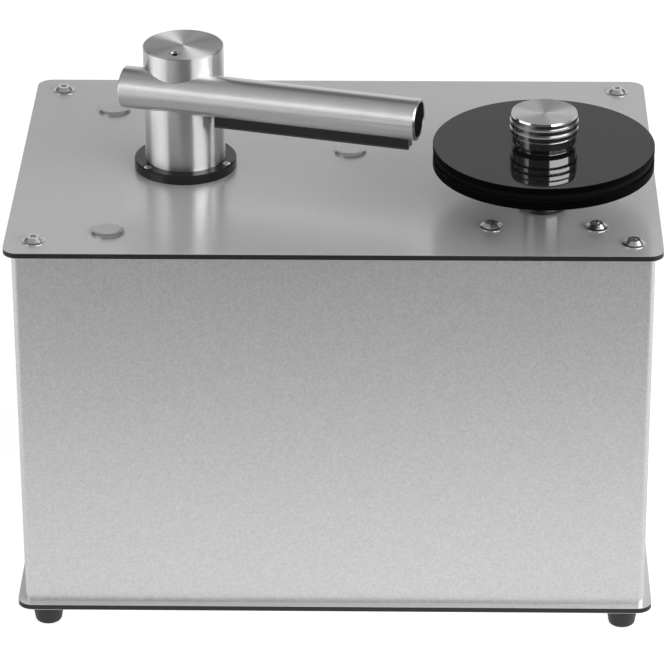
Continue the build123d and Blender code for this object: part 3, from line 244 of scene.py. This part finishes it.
def finish(name, colour, roughness, metallic=0.0, texture="handled", grain=1000.0,
           contrast=0.1, drift=0.05, bump=0.0, centre=(0, 0, 0), turn=(0, 0, 0), shade=None,
           grain_way=None, faced=None, edge=None, **fixed):
    """A Principled material whose tone, roughness and relief come from one of the groups.

    shade changes the colour by place, grain_way gives the direction that smears reflections,
    faced is the roughness of flat faces, edge the grey of matt walls, and fixed holds values
    for the shader's own sockets.
    """
    material = bpy.data.materials.new(name)
    material.use_nodes = True
    kit = Tree(material.node_tree)
    shader = material.node_tree.nodes["Principled BSDF"]
    place = kit.add("ShaderNodeTexCoord").outputs["Object"]
    placed = kit.add("ShaderNodeMapping", _vector_type="TEXTURE", Vector=place,
                     Location=centre, Rotation=turn).outputs[0]
    group = kit.add("ShaderNodeGroup", _node_tree=GROUPS[texture], Place=placed, Grain=grain,
                    Contrast=contrast, Drift=drift).outputs
    base = shade(kit, place, colour) if shade else colour
    toned = kit.add("ShaderNodeVectorMath", _operation="SCALE", Vector=base,
                    Scale=group["Shade"])
    kit.put(shader, "Base Color", toned.outputs[0])
    if faced is not None:
        roughness = kit.math("MULTIPLY_ADD", kit.ramp(kit.facing(), *FLAT_FACING),
                             faced - roughness, roughness)
    kit.put(shader, "Roughness", kit.math("ADD", roughness, group["Roughness"], clamp=True))
    shader.inputs["Metallic"].default_value = metallic
    if bump:
        relief = kit.add("ShaderNodeBump", Height=group["Height"], Strength=1.0, Distance=bump)
        kit.put(shader, "Normal", relief.outputs[0])
    if grain_way:
        kit.put(shader, "Tangent", grain_way(kit))
    for socket, value in fixed.items():
        shader.inputs[socket.replace("_", " ")].default_value = value
    if edge is not None:
        wall = kit.add("ShaderNodeBsdfPrincipled", Base_Color=grey(edge),
                       Roughness=WALL_ROUGHNESS, Specular_IOR_Level=WALL_GLOSS)
        both = kit.add("ShaderNodeMixShader", Fac=kit.ramp(kit.facing(), *FLAT_FACING))
        kit.put(both, "1", wall.outputs[0])
        kit.put(both, "2", shader.outputs[0])
        surface = material.node_tree.nodes["Material Output"].inputs["Surface"]
        kit.tree.links.new(both.outputs[0], surface)
    return material


def smear_along(way):
    """Reflections drawn out along one fixed direction of the piece, across its scratches."""
    def tangent(kit):
        return kit.add("ShaderNodeVectorTransform", _vector_type="VECTOR",
                       _convert_from="OBJECT", _convert_to="WORLD", Vector=way).outputs[0]
    return tangent


def smear_across_turning(kit):
    """Reflections drawn out across the lathe lines of an upright turned piece."""
    return kit.add("ShaderNodeTangent", _direction_type="RADIAL", _axis="Z").outputs[0]


def sandwich_edge(kit, place, skin):
    """Plate of two metal skins on a dark core: the core shows only at the edge."""
    core_tone, edge_facing = 0.035, (0.5, 0.6)
    height = kit.split(place)[2]
    edge = kit.ramp(kit.facing(), *edge_facing, 1.0, 0.0)
    core = kit.math("MAXIMUM", core_band(kit, height, DECK - PLATE),
                    core_band(kit, height, BASE))
    return kit.tint(kit.math("MULTIPLY", edge, core), skin, grey(core_tone))


def core_band(kit, height, underside):
    """1 between the two skins of a plate, else 0."""
    blur = 50 * MICRON
    low, high = underside + SKIN, underside + PLATE - SKIN
    return kit.math("MULTIPLY", kit.ramp(height, low - blur, low + blur),
                    kit.ramp(height, high - blur, high + blur, 1.0, 0.0))


# ---------------------------------------------------------------- finishes
BLASTED = dict(texture="blasted", bump=10 * MICRON)
LATHE = dict(metallic=1.0, texture="turned", bump=6 * MICRON)
UPRIGHT = dict(LATHE, grain_way=smear_across_turning, Anisotropic_Rotation=0.25)
ABOUT_PIVOT = dict(UPRIGHT, centre=tuple(PIVOT))
ABOUT_SPINDLE = dict(UPRIGHT, centre=tuple(SPINDLE))
ALONG_ARM = dict(LATHE, centre=TUBE_CROSSING, turn=(0, pi / 2, ARM_ANGLE),
                 grain_way=smear_along((cos(ARM_ANGLE), sin(ARM_ANGLE), 0.0)))

plate_metal = finish("plate_metal", grey(0.90), 0.31, metallic=0.6, contrast=0.16, drift=0.03,
                     shade=sandwich_edge, grain_way=smear_along((0.0, 1.0, 0.0)),
                     Anisotropic=0.9, **BLASTED)
case_metal = finish("case_metal", grey(0.72), 0.40, metallic=1.0, grain=900, contrast=0.5,
                    drift=0.02, **dict(BLASTED, bump=30 * MICRON))
post_metal = finish("post_metal", grey(0.77), 0.32, grain=5000, faced=0.95, Anisotropic=1.0,
                    **dict(ABOUT_PIVOT, bump=4 * MICRON))
tube_metal = finish("tube_metal", grey(0.87), 0.34, grain=3500, contrast=0.16, drift=0.1,
                    Anisotropic=1.0, **ALONG_ARM)
knob_metal = finish("knob_metal", grey(0.68), 0.12, grain=4000, contrast=0.12, faced=0.38,
                    Anisotropic=0.85, **ABOUT_SPINDLE)
# The hub is polished metal like the knob, but its grey is set darker: painted shade under the
# disc.
shaded_hub_metal = finish("shaded_hub_metal", grey(0.52), 0.30, grain=4000, contrast=0.12, Anisotropic=0.6,
                   **ABOUT_SPINDLE)
disc_black = finish("disc_black", grey(0.006), 0.03, grain=4000, contrast=0.6, drift=0.03,
                    edge=0.001, IOR=1.395)
clamp_rubber = finish("clamp_rubber", grey(0.003), 0.6, grain=3000, contrast=0.4, drift=0.1,
                      Specular_IOR_Level=0.05, **BLASTED)
seal_rubber = finish("seal_rubber", grey(0.022), 0.55, grain=3000, contrast=0.4, drift=0.1,
                     **BLASTED)
foot_rubber = finish("foot_rubber", grey(0.018), 0.5, grain=3000, contrast=0.5, drift=0.1,
                     **dict(BLASTED, bump=20 * MICRON))
ring_black = finish("ring_black", grey(0.008), 0.24, grain=4000, contrast=0.3, drift=0.1,
                    **BLASTED)
bush_black = finish("bush_black", grey(0.018), 0.30, grain=4000, contrast=0.3,
                    **dict(ABOUT_SPINDLE, metallic=0.0, bump=10 * MICRON))
moulded_black = finish("moulded_black", grey(0.016), 0.38, grain=3500, contrast=0.4, drift=0.1,
                       **BLASTED)
rocker_black = finish("rocker_black", grey(0.02), 0.3, grain=5000, contrast=0.3, drift=0.1,
                      **BLASTED)
nozzle_black = finish("nozzle_black", grey(0.012), 0.24, grain=3500, contrast=0.4, drift=0.1,
                      **BLASTED)
plug_black = finish("plug_black", grey(0.003), 0.6, grain=3500, contrast=0.4, drift=0.1,
                    Specular_IOR_Level=0.04, **BLASTED)
velvet = finish("velvet", grey(0.045), 0.95, grain=6000, contrast=0.9, drift=0.0,
                Sheen_Weight=0.3, **dict(BLASTED, bump=100 * MICRON))
screw_steel = finish("screw_steel", grey(0.74), 0.22, metallic=1.0, grain=3000, contrast=0.2,
                     drift=0.08)
bolt_steel = finish("bolt_steel", grey(0.58), 0.30, metallic=1.0, grain=2500, contrast=0.2,
                    drift=0.1, **BLASTED)
# The set screw is steel like the other screws, but its grey is set darker: painted shade of the
# hole it sits in.
shaded_set_steel = finish("shaded_set_steel", grey(0.34), 0.22, metallic=1.0, grain=3000, contrast=0.2,
                   drift=0.08)
drive_steel = finish("drive_steel", grey(0.55), 0.32, metallic=1.0, texture="brushed",
                     grain=900, contrast=0.2, drift=0.2, bump=10 * MICRON)
inner_metal = finish("inner_metal", grey(0.68), 0.35, metallic=1.0, grain=2000, contrast=0.15,
                     **BLASTED)
bronze = finish("bronze", (0.62, 0.40, 0.16, 1), 0.3, metallic=1.0, grain=2500, contrast=0.2,
                drift=0.1)
nylon = finish("nylon", (0.78, 0.77, 0.72, 1), 0.45, grain=2000, contrast=0.05, **BLASTED)
tank_plastic = finish("tank_plastic", (0.72, 0.74, 0.76, 1), 0.4, grain=1500, contrast=0.05,
                      **dict(BLASTED, bump=20 * MICRON))
board_green = finish("board_green", (0.03, 0.16, 0.06, 1), 0.35, grain=2500, contrast=0.2,
                     drift=0.1)

FINISHES = {
    plate_metal: ["top_plate", "bottom_plate"],
    case_metal: ["body_shell", "rear_panel"],
    post_metal: ["arm_post"],
    tube_metal: ["arm_tube"],
    knob_metal: ["clamp_knob"],
    shaded_hub_metal: ["platter_hub"],
    disc_black: ["platter_disc", "clamp_disc"],
    clamp_rubber: ["clamp_seal"],
    seal_rubber: ["tank_gasket", "post_seal", "vacuum_pad", "suction_hose"],
    foot_rubber: ["foot_front_left", "foot_front_right", "foot_rear_left", "foot_rear_right",
                  "drain_plug"],
    ring_black: ["arm_flange"],
    bush_black: ["spindle_bush"],
    moulded_black: ["vacuum_switch", "platter_switch", "mains_inlet", "drain_port"],
    nozzle_black: ["slot_nozzle"],
    plug_black: ["tube_plug_front", "tube_plug_rear"],
    rocker_black: ["vacuum_rocker", "platter_rocker"],
    velvet: ["velvet_strips"],
    screw_steel: ["corner_screws", "drive_screws", "flange_screws", "panel_screws",
                  "foot_screws", "motor_screws", "hub_screws"],
    bolt_steel: ["tank_bolts"],
    shaded_set_steel: ["arm_set_screw"],
    drive_steel: ["spindle", "drive_bracket", "drive_motor", "thrust_washer", "lift_spring",
                  "vacuum_motor", "drive_spacers"],
    inner_metal: ["corner_posts", "arm_sleeve", "fan_housing", "vacuum_rotor", "tank_spacers",
                  "tank_lid"],
    bronze: ["spindle_bearing", "drive_pinion"],
    nylon: ["drive_gear"],
    tank_plastic: ["waste_tank"],
    board_green: ["supply_board"],
}
for material, names in FINISHES.items():
    for name in names:
        slots = nodes[name].material_slots
        for slot in slots:
            slot.material = material
        if not slots:
            nodes[name].data.materials.append(material)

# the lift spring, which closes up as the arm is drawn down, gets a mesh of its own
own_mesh(nodes["lift_spring"])


# ---------------------------------------------------------------- studio
FLOOR_WIDTH = 24.0
FLOOR_COLOUR = 0.55            # of the floor as the camera sees it
FLOOR_GLOW = 0.80              # and its glow
FLOOR_MIRRORED = 0.5           # colour and glow of the floor as the machine mirrors it
FRONT_EDGE = (-0.74, -0.20)    # where the mirrored floor fades, in front
FRONT_LEVEL = 0.06             # what is left of it beyond that
LEFT_EDGE = (-0.50, -0.25)     # at the left it doesn't fade


def lay_floor():
    """A wide white floor, whose mirror image in the machine fades in front."""
    bpy.ops.object.select_all(action="DESELECT")
    bpy.ops.mesh.primitive_plane_add(size=FLOOR_WIDTH)
    floor = bpy.context.object
    floor.name = "studio_floor"
    material = bpy.data.materials.new("studio_white")
    material.use_nodes = True
    kit = Tree(material.node_tree)
    kit.tree.nodes.clear()
    x, y, _ = kit.split(kit.add("ShaderNodeTexCoord").outputs["Object"])
    near = kit.math("MAXIMUM", kit.ramp(y, *FRONT_EDGE, FRONT_LEVEL, 1.0),
                    kit.ramp(x, *LEFT_EDGE, 1.0, 0.0))
    tone = kit.math("MULTIPLY", near, FLOOR_MIRRORED)
    mirrored = glowing(kit, kit.even(tone), tone)
    seen = glowing(kit, grey(FLOOR_COLOUR), FLOOR_GLOW)
    both = kit.add("ShaderNodeMixShader",
                   Fac=kit.add("ShaderNodeLightPath").outputs["Is Camera Ray"])
    kit.put(both, "1", mirrored)
    kit.put(both, "2", seen)
    kit.end("ShaderNodeOutputMaterial", "Surface", both.outputs[0])
    floor.data.materials.append(material)


def glowing(kit, colour, glow):
    """A matt surface that also glows."""
    both = kit.add("ShaderNodeAddShader")
    kit.put(both, "0", kit.add("ShaderNodeBsdfDiffuse", Color=colour).outputs[0])
    kit.put(both, "1", kit.add("ShaderNodeEmission", Color=grey(1.0), Strength=glow).outputs[0])
    return both.outputs[0]


# levels of the surroundings, and the directions between which each one fades
ROOM_LEVEL = 0.34
WALL_MORE, WALL_TOP, WALL_SIDES = 0.35, (0.55, 0.68), (0.66, 0.84)
DARK_LESS, BEHIND, FRONT, LOW = 0.23, (0.20, 0.45), (0.10, 0.40), (0.50, 0.62)


def light_world():
    """Surroundings: a pale wall behind, grey overhead, darker round the wall and in front."""
    world = bpy.data.worlds.new("studio")
    bpy.context.scene.world = world
    world.use_nodes = True
    kit = Tree(world.node_tree)
    kit.tree.nodes.clear()
    _, back, up = kit.split(kit.add("ShaderNodeTexCoord").outputs["Generated"])
    wall = kit.math("MULTIPLY", kit.ramp(up, *WALL_TOP, 1.0, 0.0), kit.ramp(back, *WALL_SIDES))
    behind = kit.math("MULTIPLY", kit.ramp(back, *BEHIND), kit.math("SUBTRACT", 1.0, wall))
    front = kit.math("MULTIPLY", kit.ramp(back, *FRONT, 1.0, 0.0), kit.ramp(up, *LOW, 1.0, 0.0))
    room = kit.math("MULTIPLY_ADD", kit.math("MAXIMUM", behind, front), -DARK_LESS, ROOM_LEVEL)
    tone = kit.math("MULTIPLY_ADD", wall, WALL_MORE, room)
    seen = kit.add("ShaderNodeLightPath").outputs["Is Camera Ray"]
    background = kit.add("ShaderNodeBackground", Strength=1.0,
                         Color=kit.tint(seen, kit.even(tone), grey(1.0)))
    kit.end("ShaderNodeOutputWorld", "Surface", background.outputs[0])


MIDDLE = (0.0, 0.0, 0.2)       # what the lamps face
LEFT_BOX = dict(place=(-1.485, -0.42, 0.355), size=(1.70, 0.80), radiance=1.7, lean=radians(30))
RIGHT_BOX = dict(place=(1.36, -0.85, 0.85), size=(2.20, 0.80), radiance=5.5)
FLAT_TOPS = ("top_plate", "tank_bolts", "platter_disc", "clamp_disc")


def hang_lamp(name, place, size, radiance, lean=0.0):
    """A soft box turned by lean in its own plane: radiance 1 looks white."""
    data = bpy.data.lights.new(name, "AREA")
    data.shape = "RECTANGLE"
    data.size, data.size_y = size
    data.energy = radiance * pi * size[0] * size[1]
    lamp = bpy.data.objects.new(name, data)
    facing = (Vector(MIDDLE) - Vector(place)).to_track_quat("-Z", "Y")
    lamp.matrix_world = (Matrix.Translation(place) @ facing.to_matrix().to_4x4()
                         @ Matrix.Rotation(lean, 4, "Z"))
    bpy.context.scene.collection.objects.link(lamp)
    return lamp


def choose_lit(lamp, names, state):
    """A lamp that lights only the named pieces (INCLUDE), or all but them (EXCLUDE)."""
    chosen = bpy.data.collections.new(lamp.name + "_pieces")
    for name in names:
        chosen.objects.link(nodes[name])
    lamp.light_linking.receiver_collection = chosen
    for entry in chosen.collection_objects:
        entry.light_linking.link_state = state


lay_floor()
light_world()
hang_lamp("left_box", **LEFT_BOX)

# the flat tops get the right-hand box's light, but not its glare
choose_lit(hang_lamp("right_box", **RIGHT_BOX), FLAT_TOPS, "EXCLUDE")
right_glow = hang_lamp("right_glow", **RIGHT_BOX)
right_glow.visible_glossy = False
choose_lit(right_glow, FLAT_TOPS, "INCLUDE")

bpy.context.scene.view_settings.view_transform = "Standard"
